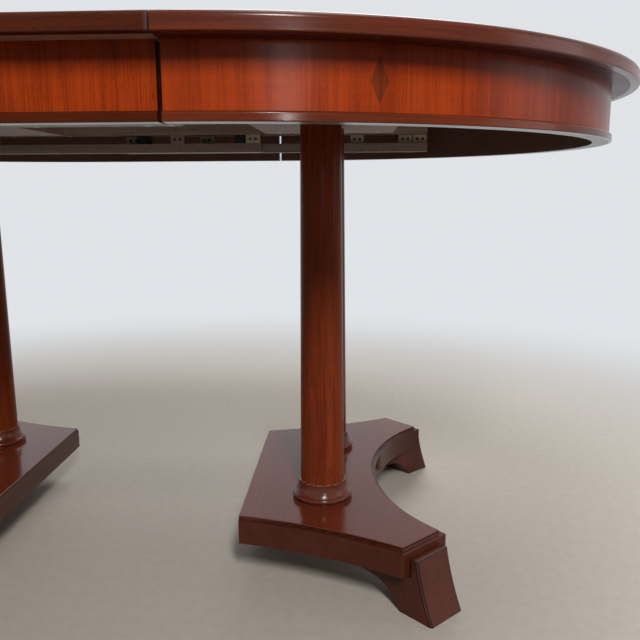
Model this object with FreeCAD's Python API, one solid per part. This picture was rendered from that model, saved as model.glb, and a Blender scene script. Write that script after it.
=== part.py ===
import FreeCAD, Part
import math
import os

# Extending dining table: two D-shaped half tops on split pedestals, with one loose leaf between them.
# Millimetres, +Z up. The origin is on the floor under the middle of the leaf, +X runs along the slides.

# Top and leaf
table_height = 765.0
top_diameter = 1208.0
top_thickness = 18.5
leaf_width = 405.0
leaf_gap = 4.5
leaf_top_gap = 1.5
leaf_seat_gap = 1.0
lipping_width = 12.0
top_edge_round = 6.0
top_edge_arris = 2.0

# Apron under the top, with a planted bead and inlaid lozenges
apron_overhang = 36.0
apron_height = 74.5
apron_thickness = 22.0
bead_height = 10.5
bead_proud = 4.0
bead_round = 3.0
bead_arris = 1.2
lozenge_angle = 21.0
lozenge_width = 20.0
lozenge_height = 44.0
lozenge_rise = 7.5
lozenge_thickness = 1.0
apron_dowel_radius = 4.0
apron_dowel_in_apron = 14.0
apron_dowel_in_top = 10.0
apron_dowel_count = 6
leaf_dowel_count = 3

# Columns, their turned bases and the plate above them
column_inset = 127.0
column_spacing = 239.0
column_bottom_radius = 35.8
column_top_radius = 31.5
column_spigot_radius = 33.0
base_height = 31.5
base_torus_radius = 49.2
base_torus_height = 8.5
base_fillet_radius = 46.5
base_fillet_height = 2.0
base_shoulder_radius = 45.5
base_neck_radius = 38.8
base_neck_height = 2.5
base_hollow_depth = 1.8
plate_thickness = 32.0
plate_margin = 118.0
plate_screw_inset = 30.0
plate_screw_radius = 3.0
plate_screw_head_radius = 6.0
plate_screw_bite = 10.0

# Tie rods that draw each plate, column and plinth together
rod_radius = 5.0
rod_end_setback = 1.5
nut_recess_radius = 15.0
nut_recess_depth = 14.0
nut_across_flats = 17.0
nut_thickness = 8.0
washer_radius = 11.0
washer_thickness = 2.0

# Plinth: one half of a square with hollow sides and clipped corners
plinth_top = 106.5
plinth_thickness = 43.5
plinth_field_height = 6.0
plinth_field_inset = 7.6
plinth_cove = 3.0
plinth_split_half = 211.0
plinth_clip_x = 283.5
plinth_clip_y = 274.0
plinth_clip_width = 95.0
plinth_side_hollow = 11.0
plinth_end_reach = 218.0

# Sabre feet at the clipped corners, in distances out from the clipped face
foot_width = 71.0
foot_toe_reach = 43.5
foot_heel_inset = 17.0
foot_lip_gap = 2.5
foot_lip_depth = 11.5
foot_lip_height = 26.5
foot_arm_thickness = 25.0
foot_arm_length = 110.0
foot_arch_start = 75.0
foot_toe_hollow = 3.0
foot_chamfer = 3.0
foot_bolt_radius = 4.0
foot_bolt_head_radius = 7.0
foot_bolt_head_height = 5.0
foot_bolt_seat = 13.0
foot_bolt_bite = 25.0
foot_bolt_insets = (50.0, 92.0)

# Slides: each half carries a front and a back rail, and each rail is two bars with blocks between them
rail_offset = 359.5
rail_thickness = 25.0
rail_gap = 1.5
upper_bar_height = 25.2
slot_height = 17.7
lower_bar_height = 19.1
right_rail_reach = 332.0
left_rail_reach = 382.5
rail_end_gap = 24.0
end_block_length = 30.0
spacer_length = 29.0
inner_spacer_place = 180.0
outer_spacer_places = (47.0, 152.5)
block_depth = 12.0
block_hole_radius = 3.0
block_hole_depth = 6.0
block_hole_spread = 12.0
shoe_length = 25.0
shoe_tongue = 11.0
rail_screw_radius = 2.5
rail_screw_head_radius = 4.6
rail_screw_bite = 15.0
top_screw_bite = 11.0
top_screw_inset = 40.0
top_screw_end_inset = 75.0
top_screw_count = 3

# Clearances
hole_clearance = 0.2
turning_clearance = 0.3
slide_clearance = 0.4
edge_tolerance = 0.01

# Levels and radii that follow from the sizes above
top_radius = top_diameter / 2
half_pitch = (leaf_width + leaf_gap + leaf_seat_gap) / 2
leaf_middle = (leaf_seat_gap - leaf_gap) / 2
leaf_top_reach = leaf_gap - leaf_top_gap
top_underside = table_height - top_thickness
apron_bottom = top_underside - apron_height
apron_face_radius = top_radius - apron_overhang
apron_inner_radius = apron_face_radius - apron_thickness
panel_radius = top_radius - lipping_width
apron_middle_radius = apron_face_radius - apron_thickness / 2
plinth_bottom = plinth_top - plinth_thickness
plate_bottom = top_underside - plate_thickness
plate_half_depth = column_spacing / 2 + plate_margin
upper_bar_bottom = top_underside - upper_bar_height
slot_bottom = upper_bar_bottom - slot_height
rail_bottom = slot_bottom - lower_bar_height
X_AXIS = FreeCAD.Vector(1, 0, 0)
Z_AXIS = FreeCAD.Vector(0, 0, 1)
ORIGIN = FreeCAD.Vector(0, 0, 0)


class Bend:
    """An arc in an outline: it passes through middle and stops at end."""

    def __init__(self, middle, end):
        self.middle = middle
        self.end = end


def hollow(start, end, depth):
    """Bend whose middle lies depth to the left of the straight line from start to end."""
    along = (end[0] - start[0], end[1] - start[1])
    run = math.hypot(*along)
    middle = ((start[0] + end[0]) / 2 - depth * along[1] / run,
              (start[1] + end[1]) / 2 + depth * along[0] / run)
    return Bend(middle, end)


def closed_face(steps, place):
    """Face inside an outline of points and Bends, with each 2-D point put in space by place."""
    edges = []
    here = steps[0]
    for step in steps[1:] + [steps[0]]:
        if isinstance(step, Bend):
            edges.append(Part.Arc(place(here), place(step.middle), place(step.end)).toShape())
            here = step.end
        elif step != here:
            edges.append(Part.LineSegment(place(here), place(step)).toShape())
            here = step
    return Part.Face(Part.Wire(edges))


def in_plan(point):
    return FreeCAD.Vector(point[0], point[1], 0)


def in_section(point):
    return FreeCAD.Vector(point[0], 0, point[1])


def slab(steps, bottom, top):
    """Upright prism over a plan outline."""
    solid = closed_face(steps, in_plan).extrude(FreeCAD.Vector(0, 0, top - bottom))
    solid.translate(FreeCAD.Vector(0, 0, bottom))
    return solid


def turned(steps):
    """Full turn of a (radius, height) outline about the vertical axis."""
    return closed_face(steps, in_section).revolve(ORIGIN, Z_AXIS, 360)


def half_turned(steps):
    """Half turn of a (radius, height) outline, on the +X side of the joint."""
    section = closed_face(steps, in_section)
    section.rotate(ORIGIN, Z_AXIS, -90)
    return section.revolve(ORIGIN, Z_AXIS, 180)


def straight_run(steps, length):
    """A (distance out, height) outline run along X, facing -Y, centred on the middle of the leaf."""
    section = closed_face(steps, in_section)
    section.rotate(ORIGIN, Z_AXIS, -90)
    section.translate(FreeCAD.Vector(-length / 2, 0, 0))
    return section.extrude(FreeCAD.Vector(length, 0, 0))


def box(x_range, y_range, z_range):
    low = FreeCAD.Vector(min(x_range), min(y_range), min(z_range))
    high = FreeCAD.Vector(max(x_range), max(y_range), max(z_range))
    size = high - low
    return Part.makeBox(size.x, size.y, size.z, low)


def rod(x, y, bottom, top, radius):
    return Part.makeCylinder(radius, top - bottom, FreeCAD.Vector(x, y, bottom))


def hexagon(x, y, bottom, top, across_flats):
    corner = across_flats / math.sqrt(3)
    turns = [math.radians(60 * k) for k in range(6)]
    steps = [(x + corner * math.cos(t), y + corner * math.sin(t)) for t in turns]
    return slab(steps, bottom, top)


def wood_screw(x, y, head_face, tip, radius, head_radius):
    """Countersunk screw driven upwards, with its head flush with head_face."""
    head_height = head_radius - radius
    shank = rod(x, y, head_face + head_height, tip, radius)
    head = Part.makeCone(head_radius, radius, head_height, FreeCAD.Vector(x, y, head_face))
    return head.fuse(shank).removeSplitter()


def screw_hole(x, y, head_face, tip, radius, head_radius):
    wide = radius + hole_clearance
    return wood_screw(x, y, head_face, tip + hole_clearance, wide, head_radius + hole_clearance)


def mirrored_y(shape):
    return shape.mirror(ORIGIN, FreeCAD.Vector(0, 1, 0))


def group(shapes):
    return Part.makeCompound(shapes)


def bored(shape, holes):
    return shape.cut(group(holes)) if holes else shape


# Top of one half


def lipping_outline():
    """Moulded edge of the top: a round upper edge and a small arris below."""
    turn = math.sqrt(0.5)
    upper = table_height - top_edge_round
    lower = top_underside + top_edge_arris
    return [
        (panel_radius, top_underside),
        (top_radius - top_edge_arris, top_underside),
        Bend((top_radius - top_edge_arris * (1 - turn), lower - top_edge_arris * turn), (top_radius, lower)),
        (top_radius, upper),
        Bend((top_radius - top_edge_round * (1 - turn), upper + top_edge_round * turn),
             (top_radius - top_edge_round, table_height)),
        (panel_radius, table_height),
    ]


def bead_outline():
    """Bead along the foot of the apron, rounded above and eased below."""
    turn = math.sqrt(0.5)
    face = apron_face_radius + bead_proud
    top = apron_bottom + bead_height
    return [
        (apron_face_radius, apron_bottom),
        (face - bead_arris, apron_bottom),
        Bend((face - bead_arris * (1 - turn), apron_bottom + bead_arris * (1 - turn)),
             (face, apron_bottom + bead_arris)),
        (face, top - bead_round),
        Bend((face - bead_round * (1 - turn), top - bead_round * (1 - turn)), (face - bead_round, top)),
        (apron_face_radius, top),
    ]


def apron_outline():
    return [
        (apron_inner_radius, apron_bottom),
        (apron_face_radius, apron_bottom),
        (apron_face_radius, top_underside),
        (apron_inner_radius, top_underside),
    ]


def half_panel(holes):
    disc = [(0, -panel_radius), Bend((panel_radius, 0), (0, panel_radius))]
    return bored(slab(disc, top_underside, table_height), holes)


def apron_dowel_spots():
    step = 180 / apron_dowel_count
    turns = [math.radians(-90 + step * (k + 0.5)) for k in range(apron_dowel_count)]
    return [(apron_middle_radius * math.cos(t), apron_middle_radius * math.sin(t)) for t in turns]


def leaf_dowel_spots():
    step = leaf_width / leaf_dowel_count
    return [(step * (k + 0.5) - leaf_width / 2, -apron_middle_radius) for k in range(leaf_dowel_count)]


def dowels(spots, clearance=0.0):
    low = top_underside - apron_dowel_in_apron - clearance
    high = top_underside + apron_dowel_in_top + clearance
    return [rod(x, y, low, high, apron_dowel_radius + clearance) for x, y in spots]


def lozenges():
    """Diamond inlays let into the apron's face, one on each side of the half."""
    tall = lozenge_height / 2
    middle = apron_bottom + bead_height + lozenge_rise + tall
    wide = lozenge_width / 2
    diamond = [(0, -tall), (wide, 0), (0, tall), (-wide, 0)]
    inner = apron_face_radius - lozenge_thickness
    shell = half_turned([(inner, apron_bottom), (apron_face_radius, apron_bottom),
                         (apron_face_radius, top_underside), (inner, top_underside)])
    block = closed_face(diamond, in_section).extrude(FreeCAD.Vector(0, -top_radius, 0))
    block.translate(FreeCAD.Vector(0, 0, middle))
    block.rotate(ORIGIN, Z_AXIS, lozenge_angle)
    front = shell.common(block)
    return [front, mirrored_y(front)]


# Pedestal of one half


def column_spots():
    return [(column_inset, -column_spacing / 2), (column_inset, column_spacing / 2)]


def column():
    bore = rod_radius + hole_clearance
    shoulder = plinth_top + base_height
    return turned([
        (bore, plinth_top), (column_spigot_radius, plinth_top), (column_spigot_radius, shoulder),
        (column_bottom_radius, shoulder), (column_top_radius, plate_bottom), (bore, plate_bottom),
    ])


def column_base():
    """Turned collar: a fillet, a half-round torus, a hollow and a neck fillet."""
    bore = column_spigot_radius + turning_clearance
    torus_bottom = plinth_top + base_fillet_height
    torus_top = torus_bottom + base_torus_height
    top = plinth_top + base_height
    neck_bottom = top - base_neck_height
    shoulder = (base_shoulder_radius, torus_top)
    return turned([
        (bore, plinth_top), (base_fillet_radius, plinth_top), (base_fillet_radius, torus_bottom),
        Bend((base_torus_radius, (torus_bottom + torus_top) / 2), (base_fillet_radius, torus_top)),
        shoulder,
        hollow(shoulder, (base_neck_radius, neck_bottom), base_hollow_depth),
        (base_neck_radius, top), (bore, top),
    ])


def plate_screw_spots():
    rows = (plate_screw_inset, column_inset, 2 * column_inset - plate_screw_inset)
    line = plate_half_depth - plate_screw_inset
    return [(x, y) for x in rows for y in (-line, line)]


def plate_screws(make):
    tip = top_underside + plate_screw_bite
    return [make(x, y, plate_bottom, tip, plate_screw_radius, plate_screw_head_radius)
            for x, y in plate_screw_spots()]


def column_plate():
    plate = box((0, 2 * column_inset), (-plate_half_depth, plate_half_depth), (plate_bottom, top_underside))
    return bored(plate, plate_screws(screw_hole) + rod_holes())


def tie_rods():
    low = plinth_bottom + rod_end_setback
    high = top_underside - rod_end_setback
    return [rod(x, y, low, high, rod_radius) for x, y in column_spots()]


def rod_holes():
    """Clearance bores for the rods, with wide recesses for the nuts at both ends."""
    holes = []
    for x, y in column_spots():
        holes.append(rod(x, y, plinth_bottom, top_underside, rod_radius + hole_clearance))
        holes.append(rod(x, y, plinth_bottom, plinth_bottom + nut_recess_depth, nut_recess_radius))
        holes.append(rod(x, y, top_underside - nut_recess_depth, top_underside, nut_recess_radius))
    return holes


def tie_nuts():
    """A washer and a hexagon nut at each end of each rod."""
    pieces = []
    for x, y in column_spots():
        bore = rod(x, y, plinth_bottom, top_underside, rod_radius + hole_clearance)
        for seat, away in ((plinth_bottom + nut_recess_depth, -1), (top_underside - nut_recess_depth, 1)):
            washer_end = seat + away * washer_thickness
            nut_end = washer_end + away * nut_thickness
            washer = rod(x, y, min(seat, washer_end), max(seat, washer_end), washer_radius)
            nut = hexagon(x, y, min(washer_end, nut_end), max(washer_end, nut_end), nut_across_flats)
            pieces.extend([washer.cut(bore), nut.cut(bore)])
    return pieces


def plinth_outline():
    """Whole closed plinth: the half and its mirror image, so that only outer sides get the moulding."""
    clip = plinth_clip_width / 2 * math.sqrt(0.5)
    side = (plinth_clip_x - clip, plinth_clip_y + clip)
    end = (plinth_clip_x + clip, plinth_clip_y - clip)

    def spot(point, turn):
        return (turn * point[0], turn * point[1])

    front_split = (0, -plinth_split_half)
    front_side = (side[0], -side[1])
    front_end = (end[0], -end[1])
    steps = [front_split]
    for turn in (1, -1):
        steps.append(hollow(spot(front_split, turn), spot(front_side, turn), plinth_side_hollow))
        steps.append(spot(front_end, turn))
        steps.append(Bend((turn * plinth_end_reach, 0), spot(end, turn)))
        steps.append(spot(side, turn))
        steps.append(hollow(spot(side, turn), spot(front_split, -turn), plinth_side_hollow))
    return steps


def plinth(holes):
    """Half plinth with a raised field: a cove runs round it on every side but the split."""
    outline = closed_face(plinth_outline(), in_plan)
    ledge = plinth_top - plinth_field_height
    body = outline.extrude(FreeCAD.Vector(0, 0, plinth_thickness - plinth_field_height))
    body.translate(FreeCAD.Vector(0, 0, plinth_bottom))
    inset = outline.OuterWire.makeOffset2D(-plinth_field_inset, 2)
    field = Part.Face(inset).extrude(FreeCAD.Vector(0, 0, plinth_field_height))
    field.translate(FreeCAD.Vector(0, 0, ledge))
    whole = body.fuse(field).removeSplitter()
    foot_of_field = [edge for edge in whole.Edges if at_field_foot(edge, inset, ledge)]
    whole = whole.makeFillet(plinth_cove, foot_of_field)
    reach = top_radius
    half = box((0, reach), (-reach, reach), (plinth_bottom, plinth_top))
    return bored(whole.common(half), holes)


def at_field_foot(edge, inset, ledge):
    """True for an edge where the raised field meets the ledge."""
    flat = edge.BoundBox.ZLength < edge_tolerance and abs(edge.BoundBox.ZMin - ledge) < edge_tolerance
    if not flat:
        return False
    middle = edge.valueAt((edge.FirstParameter + edge.LastParameter) / 2)
    spot = Part.Vertex(FreeCAD.Vector(middle.x, middle.y, 0))
    return inset.distToShape(spot)[0] < edge_tolerance


def foot_outline():
    """Side view of a foot: distance out from the clipped face, and height."""
    lip_back = foot_lip_gap
    lip_front = foot_lip_gap + foot_lip_depth
    lip_top = plinth_bottom + foot_lip_height
    arm_bottom = plinth_bottom - foot_arm_thickness
    width = foot_arch_start - foot_heel_inset
    radius = (width ** 2 + arm_bottom ** 2) / (2 * arm_bottom)
    half_turn = math.asin(width / radius) / 2
    arch_middle = (radius * math.sin(half_turn) - foot_arch_start,
                   arm_bottom - radius * (1 - math.cos(half_turn)))
    toe = (foot_toe_reach, 0)
    return [
        (-foot_arm_length, arm_bottom),
        (-foot_arch_start, arm_bottom),
        Bend(arch_middle, (-foot_heel_inset, 0)),
        toe,
        hollow(toe, (lip_front, lip_top), foot_toe_hollow),
        (lip_back, lip_top), (lip_back, plinth_bottom),
        (-foot_arm_length, plinth_bottom),
    ]


def on_toe_corner(edge):
    """True for the two long edges between a foot's sides and its outer face."""
    ends = [vertex.Point for vertex in edge.Vertexes]
    if len(ends) != 2:
        return False
    low, high = sorted(ends, key=lambda point: point.z)
    at_toe = low.z < edge_tolerance and abs(low.x - foot_toe_reach) < edge_tolerance
    return at_toe and high.z > plinth_bottom


def at_clip(shape):
    """Turn a shape made along +X so that it points out of the back clipped corner."""
    shape.rotate(ORIGIN, Z_AXIS, 45)
    shape.translate(FreeCAD.Vector(plinth_clip_x, plinth_clip_y, 0))
    return shape


def foot():
    side = closed_face(foot_outline(), in_section)
    side.translate(FreeCAD.Vector(0, -foot_width / 2, 0))
    block = side.extrude(FreeCAD.Vector(0, foot_width, 0))
    block = block.makeChamfer(foot_chamfer, [edge for edge in block.Edges if on_toe_corner(edge)])
    return at_clip(bored(block, foot_bolt_holes()))


def foot_bolt_seat_level():
    return plinth_bottom - foot_bolt_seat


def foot_bolt_holes():
    seat = foot_bolt_seat_level()
    holes = []
    for inset in foot_bolt_insets:
        holes.append(rod(-inset, 0, 0, seat, foot_bolt_head_radius + hole_clearance))
        holes.append(rod(-inset, 0, 0, plinth_bottom + foot_bolt_bite + hole_clearance,
                         foot_bolt_radius + hole_clearance))
    return holes


def foot_bolts():
    seat = foot_bolt_seat_level()
    bolts = []
    for inset in foot_bolt_insets:
        head = rod(-inset, 0, seat - foot_bolt_head_height, seat, foot_bolt_head_radius)
        shank = rod(-inset, 0, seat, plinth_bottom + foot_bolt_bite, foot_bolt_radius)
        bolts.append(at_clip(head.fuse(shank).removeSplitter()))
    return bolts


# Slides of one half


class Rail:
    """Back rail of one half: where it lies, and which of its faces looks at the other half's rail."""

    def __init__(self, near, reach, mate_is_outside):
        self.near = near
        self.far = near + rail_thickness
        self.inner_end = -reach
        self.outer_end = math.sqrt(apron_inner_radius ** 2 - self.far ** 2) - rail_end_gap
        self.mate_face = self.far if mate_is_outside else self.near
        self.plain_face = self.near if mate_is_outside else self.far
        self.towards_mate = 1 if mate_is_outside else -1

    def bar(self, bottom, top):
        return box((self.inner_end, self.outer_end), (self.near, self.far), (bottom, top))

    def block_middle(self):
        return self.plain_face + self.towards_mate * block_depth / 2

    def end_block_middles(self):
        return [self.inner_end + end_block_length / 2, self.outer_end - end_block_length / 2]

    def spacer_middles(self):
        outer = [self.outer_end - place for place in outer_spacer_places]
        return [self.inner_end + inner_spacer_place] + outer

    def shoe_middle(self):
        return self.inner_end + end_block_length + shoe_length / 2

    def block(self, middle, length):
        """Block in the slot on the side away from the other rail, with two blind holes in its inner face."""
        deep = self.plain_face + self.towards_mate * block_depth
        x_range = (middle - length / 2, middle + length / 2)
        solid = box(x_range, (self.plain_face, deep), (slot_bottom, upper_bar_bottom))
        shown = min(self.plain_face, deep)
        level = (slot_bottom + upper_bar_bottom) / 2
        holes = [Part.makeCylinder(block_hole_radius, block_hole_depth,
                                   FreeCAD.Vector(middle + shift, shown, level), FreeCAD.Vector(0, 1, 0))
                 for shift in (-block_hole_spread / 2, block_hole_spread / 2)]
        return bored(solid, holes + [screw_hole(*self.block_screw(middle))])

    def block_screw(self, middle):
        return (middle, self.block_middle(), rail_bottom, upper_bar_bottom + rail_screw_bite,
                rail_screw_radius, rail_screw_head_radius)

    def top_screw(self, place):
        return (place, (self.near + self.far) / 2, upper_bar_bottom, top_underside + top_screw_bite,
                rail_screw_radius, rail_screw_head_radius)

    def shoe(self):
        """Guide shoe: it fills this rail's slot and its tongue runs in the other rail's slot."""
        middle = self.shoe_middle()
        x_range = (middle - shoe_length / 2, middle + shoe_length / 2)
        heart = box(x_range, (self.near, self.far), (slot_bottom, upper_bar_bottom))
        tip = self.mate_face + self.towards_mate * (rail_gap + shoe_tongue)
        tongue = box(x_range, (self.mate_face, tip),
                     (slot_bottom + slide_clearance, upper_bar_bottom - slide_clearance))
        solid = heart.fuse(tongue).removeSplitter()
        return bored(solid, [screw_hole(*self.block_screw(middle))])

    def block_screw_settings(self):
        middles = self.end_block_middles() + self.spacer_middles() + [self.shoe_middle()]
        return [self.block_screw(middle) for middle in middles]

    def top_screw_settings(self):
        """Screws into the top, evenly spaced from near the joint to near the rail's outer end."""
        last = self.outer_end - top_screw_end_inset
        step = (last - top_screw_inset) / (top_screw_count - 1)
        return [self.top_screw(top_screw_inset + step * k) for k in range(top_screw_count)]


def rail_nodes(rail):
    """The pieces of one half's back rail; the front rail is their mirror image."""
    block_holes = [screw_hole(*setting) for setting in rail.block_screw_settings()]
    top_holes = [screw_hole(*setting) for setting in rail.top_screw_settings()]
    upper = bored(rail.bar(upper_bar_bottom, top_underside), block_holes + top_holes)
    lower = bored(rail.bar(rail_bottom, slot_bottom), block_holes)
    spacers = [rail.block(middle, spacer_length) for middle in rail.spacer_middles()]
    end_blocks = [rail.block(middle, end_block_length) for middle in rail.end_block_middles()]
    settings = rail.block_screw_settings() + rail.top_screw_settings()
    screws = [wood_screw(*setting) for setting in settings]
    shoes = [rail.shoe()]
    return {
        "back_upper_bar": upper,
        "front_upper_bar": mirrored_y(upper),
        "back_lower_bar": lower,
        "front_lower_bar": mirrored_y(lower),
        "rail_spacers": group(both_sides(spacers)),
        "rail_end_blocks": group(both_sides(end_blocks)),
        "guide_shoes": group(both_sides(shoes)),
        "rail_screws": group(both_sides(screws)),
    }


def both_sides(shapes):
    return shapes + [mirrored_y(shape) for shape in shapes]


# Whole half and leaf


def half_nodes(rail):
    """Every piece of one half, with its joint on the plane X = 0 and its body on the +X side."""
    spots = apron_dowel_spots()
    top_holes = both_sides([screw_hole(*setting) for setting in rail.top_screw_settings()])
    top_holes += plate_screws(screw_hole) + dowels(spots, hole_clearance)
    inlays = lozenges()
    front_spot, back_spot = column_spots()
    bolts = both_sides(foot_bolts())
    bolt_holes = both_sides([at_clip(hole) for hole in foot_bolt_holes()])
    back_foot = foot()
    nodes = {
        "top_panel": half_panel(top_holes),
        "top_lipping": half_turned(lipping_outline()),
        "apron": bored(half_turned(apron_outline()), inlays + dowels(spots, hole_clearance)),
        "apron_bead": half_turned(bead_outline()),
        "apron_lozenges": group(inlays),
        "apron_dowels": group(dowels(spots)),
        "column_plate": column_plate(),
        "plate_screws": group(plate_screws(wood_screw)),
        "tie_rods": group(tie_rods()),
        "tie_nuts": group(tie_nuts()),
        "plinth": plinth(rod_holes() + bolt_holes),
        "back_foot": back_foot,
        "front_foot": mirrored_y(back_foot),
        "foot_bolts": group(bolts),
    }
    for side, (x, y) in (("front", front_spot), ("back", back_spot)):
        for name, make in (("column", column), ("column_base", column_base)):
            piece = make()
            piece.translate(FreeCAD.Vector(x, y, 0))
            nodes[f"{side}_{name}"] = piece
    nodes.update(rail_nodes(rail))
    return nodes


def leaf_nodes():
    spots = both_spots(leaf_dowel_spots())
    holes = dowels(spots, hole_clearance)
    reach = leaf_width / 2
    panel = box((-reach, reach + leaf_top_reach), (-panel_radius, panel_radius), (top_underside, table_height))
    nodes = {
        "leaf_panel": bored(panel, holes),
        "leaf_apron_dowels": group(dowels(spots)),
    }
    runs = {
        "lipping": straight_run(lipping_outline(), leaf_width + leaf_top_reach),
        "apron": bored(straight_run(apron_outline(), leaf_width), holes),
        "bead": straight_run(bead_outline(), leaf_width),
    }
    runs["lipping"].translate(FreeCAD.Vector(leaf_top_reach / 2, 0, 0))
    for name, piece in runs.items():
        nodes[f"leaf_front_{name}"] = piece
        nodes[f"leaf_back_{name}"] = mirrored_y(piece)
    return nodes


def both_spots(spots):
    return spots + [(x, -y) for x, y in spots]


def table_nodes():
    inner_rail = Rail(rail_offset, left_rail_reach, True)
    outer_rail = Rail(inner_rail.far + rail_gap, right_rail_reach, False)
    nodes = leaf_nodes()
    for shape in nodes.values():
        shape.translate(FreeCAD.Vector(leaf_middle, 0, 0))
    for name, shape in half_nodes(outer_rail).items():
        shape.translate(FreeCAD.Vector(half_pitch, 0, 0))
        nodes[f"right_{name}"] = shape
    for name, shape in half_nodes(inner_rail).items():
        shape = shape.mirror(ORIGIN, X_AXIS)
        shape.translate(FreeCAD.Vector(-half_pitch, 0, 0))
        nodes[f"left_{name}"] = shape
    return nodes


os.makedirs("parts", exist_ok=True)
for name, shape in table_nodes().items():
    shape.exportStep(f"parts/{name}.step")
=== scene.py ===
import math

import bmesh
import bpy
from bpy.props import FloatProperty, FloatVectorProperty, IntProperty, PointerProperty
from mathutils import Matrix, Vector


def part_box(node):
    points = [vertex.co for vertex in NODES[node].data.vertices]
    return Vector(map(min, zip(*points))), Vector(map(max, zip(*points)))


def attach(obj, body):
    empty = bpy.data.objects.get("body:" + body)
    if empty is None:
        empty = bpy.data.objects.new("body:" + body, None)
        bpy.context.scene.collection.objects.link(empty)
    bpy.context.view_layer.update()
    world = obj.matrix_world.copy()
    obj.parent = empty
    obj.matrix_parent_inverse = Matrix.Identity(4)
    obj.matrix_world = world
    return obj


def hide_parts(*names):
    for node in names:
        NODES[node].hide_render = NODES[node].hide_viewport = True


bl_info = {
    "name": "Extending Pedestal Table",
    "version": (1, 0, 0),
    "blender": (4, 5, 0),
    "location": "3D View > Sidebar > Table",
    "description": "Finishes an extending dining table with lacquered wood, raw slides and a plain studio",
    "category": "Object",
}

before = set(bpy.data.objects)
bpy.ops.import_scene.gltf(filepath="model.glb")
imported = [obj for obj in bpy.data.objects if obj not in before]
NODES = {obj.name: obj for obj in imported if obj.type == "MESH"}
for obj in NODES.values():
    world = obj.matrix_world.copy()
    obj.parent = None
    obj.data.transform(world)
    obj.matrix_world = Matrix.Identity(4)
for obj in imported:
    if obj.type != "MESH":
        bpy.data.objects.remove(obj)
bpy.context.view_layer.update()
HALVES = ("right", "left")

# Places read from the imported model, in metres
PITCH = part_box("right_apron")[0].x
APRON_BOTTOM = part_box("right_apron")[0].z
APRON_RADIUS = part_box("right_apron")[1].y
PANEL_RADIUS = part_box("right_top_panel")[1].y
TOP_UNDERSIDE, TABLE_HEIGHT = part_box("right_top_panel")[0].z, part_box("right_top_panel")[1].z
TOP_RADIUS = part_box("right_top_lipping")[1].y
LEAF_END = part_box("leaf_front_lipping")[1].x
LEAF_APRON_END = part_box("leaf_front_apron")[1].x
SLOT_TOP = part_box("right_front_upper_bar")[0].z
PLINTH_BOTTOM, PLINTH_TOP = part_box("right_plinth")[0].z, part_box("right_plinth")[1].z
COLLAR_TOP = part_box("right_front_column_base")[1].z

# Rays that see the pale backdrop
SHOWN_TO = ("Camera", "Glossy", "Transmission")

# How meshes are cleaned and shaded. SKIN is how near to a face counts as on it, in metres.
SKIN = 0.0003
MERGE = 0.00002
FLAT = math.radians(0.3)
CREASE = math.radians(35.0)

# Face layers that copies of CAD nodes carry
ARRIS = "arris"
HOLE = "hole"

# Roundings: a circular section, steps round it, and the shortest edge that is eased, in widths
CIRCULAR = 0.5
ARRIS_STEPS = 3
SHORTEST_ARRIS = 4
TOP_ROUND_STEPS = 10
TOP_ARRIS_STEPS = 5
LIPPING_STEPS = 160
FLOOR_STEPS = 96

# Numbers that keep the two halves from sharing their grain and their lengths of moulding
GRAIN_SHIFT = 7.0
LENGTH_SHIFT = 5.0

# Tones, as shares of a piece's own colour: the leaf's mouldings, painted shade in holes and on faces in
# slots and joints, darker stripes, darker specks of the floor, seams of the veneer, and painted shade round
# the foot of the collars, in the plinth's cove and on the feet's arrises
LEAF_TONE = 0.72
HOLE_SHADE_TONE = 0.12
SLOT_AND_JOINT_SHADE = 0.25
STRIPE_TONE = 0.8
PALE_STRIPE_TONE = 0.85
FLOOR_TONE = 0.97
SEAM_TONE = 1.3
COLLAR_SHADE_TONE = 0.3
COVE_SHADE_TONE = 0.55
ARRIS_SHADE_TONE = 0.15

# How much of the leaf edge's grey band or a rubbed edge's colour shows, and where the grey band starts, in
# its own widths
GREY_END_SHARE = 0.8
RUBBED_SHARE = 0.8
GREY_END_START = 1.5

# Wood figure: width of a veneer sheet in metres, and the noise levels between which figure and pores show
VENEER_SHEET = 0.17
FIGURE_RANGE = (0.25, 0.75)
PORE_RANGE = (0.6, 0.72)

# Surfaces: roughness from fibres and clouds, bump heights and strengths, depth of a bump in metres, coats,
# reflection of the slots and shoes, and the roughness of shoes, fixings and floor
FIBRE_ROUGH, CLOUD_ROUGH, RAW_FIBRE_ROUGH = 0.04, 0.05, 0.1
FIBRE_HEIGHT, WAVE_HEIGHT, PORE_HEIGHT = 0.5, 1.5, 0.5
LACQUER_BUMP, RAW_BUMP = 0.06, 0.3
BUMP_DEPTH = 0.0004
COAT_ROUGHNESS = 0.12
PLINTH_COAT, FIELD_COAT = 0.3, 0.55
SLOT_SHEEN, NYLON_SHEEN = 0.02, 0.2
NYLON_ROUGHNESS = (0.35, 0.55)
STEEL_ROUGHNESS = (0.42, 0.28)
FLOOR_ROUGHNESS = 0.6

# Stage: width of the camera's sensor in millimetres, and the shares of its radius where the floor fades
SENSOR_WIDTH = 36.0
FADE_START, FADE_END = 0.3, 0.9


def linear(colour):
    """Screen colour, 0 to 1 in each channel, as the linear RGBA that a socket takes."""
    parts = [c / 12.92 if c <= 0.04045 else ((c + 0.055) / 1.055) ** 2.4 for c in colour]
    return (*parts, 1.0)


def dimmed(colour, level):
    return [c * level for c in colour]


def striped(colour, level=STRIPE_TONE):
    """A colour for lighter stripes and a dimmed one for darker stripes."""
    return colour, dimmed(colour, level)


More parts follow.
